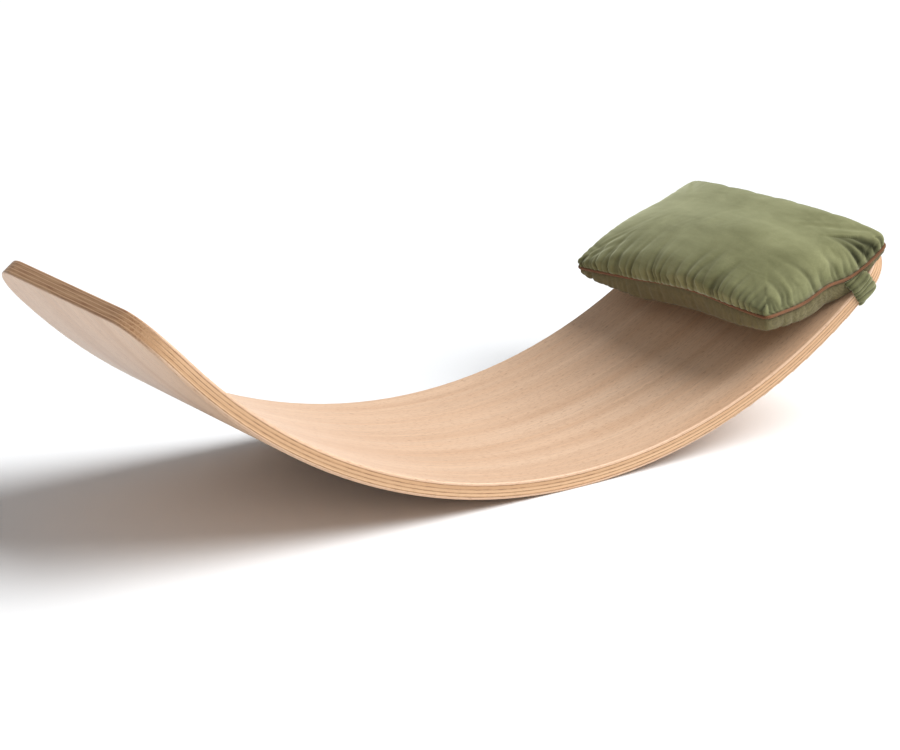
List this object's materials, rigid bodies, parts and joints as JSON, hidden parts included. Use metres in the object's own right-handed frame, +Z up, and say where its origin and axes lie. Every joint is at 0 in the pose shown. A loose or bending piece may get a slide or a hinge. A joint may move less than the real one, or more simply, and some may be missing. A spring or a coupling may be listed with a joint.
{
  "type": "balance board",
  "caption": "Curved plywood rocking board with rounded ends and a strapped-on cushion that slides along it.",
  "frame": {"origin": "on the underside's line of contact with the floor, under the middle of the board's arc", "axes": "+X along the board towards the cushion's end, +Y across the board, +Z up"},
  "size_m": [0.8963, 0.3147, 0.2442],
  "materials": {
    "face_veneer": "satin",
    "core_veneer": "satin",
    "cross_veneer": "satin",
    "velvet": "matte",
    "twill": "matte",
    "bag_cloth": "matte",
    "filling": "matte",
    "piping": "matte",
    "elastic": "matte",
    "zip_tape": "matte",
    "zip_teeth": "satin",
    "zip_metal": "satin"
  },
  "bodies": {
    "board": {"top_face_veneer": "face_veneer", "cross_veneer_1": "cross_veneer", "cross_veneer_2": "cross_veneer", "cross_veneer_3": "cross_veneer", "cross_veneer_4": "cross_veneer", "core_veneer_1": "core_veneer", "core_veneer_2": "core_veneer", "core_veneer_3": "core_veneer", "bottom_face_veneer": "face_veneer"},
    "cushion": {"cushion_top_panel": "velvet", "cushion_base_panel": "twill", "inner_bag": "bag_cloth", "filling": "filling", "piping_cover": "piping", "piping_cord": "bag_cloth", "strap_casing": "velvet", "strap_elastic": "elastic", "zip_tape_outer": "zip_tape", "zip_tape_inner": "zip_tape", "zip_teeth_outer": "zip_teeth", "zip_teeth_inner": "zip_teeth", "zip_top_stop": "zip_metal", "zip_bottom_stop": "zip_metal"},
    "zip_slider": {"zip_slider": "zip_metal"},
    "zip_puller": {"zip_puller": "zip_metal"}
  },
  "joints": [
    {"name": "cushion_slide", "type": "hinge", "parent": "board", "child": "cushion", "pos_m": [0, 0, 0.5998], "axis": [0, 1, 0], "range_deg": [0, 77]},
    {"name": "zip_run", "type": "slide", "parent": "cushion", "child": "zip_slider", "axis": [0, 1, 0], "range_m": [0, 0.1594]},
    {"name": "puller_swing", "type": "hinge", "parent": "zip_slider", "child": "zip_puller", "pos_m": [0.29126, -0.0737, 0.10426], "axis": [-0.9926, 0, -0.1214], "range_deg": [0, 15]}
  ]
}
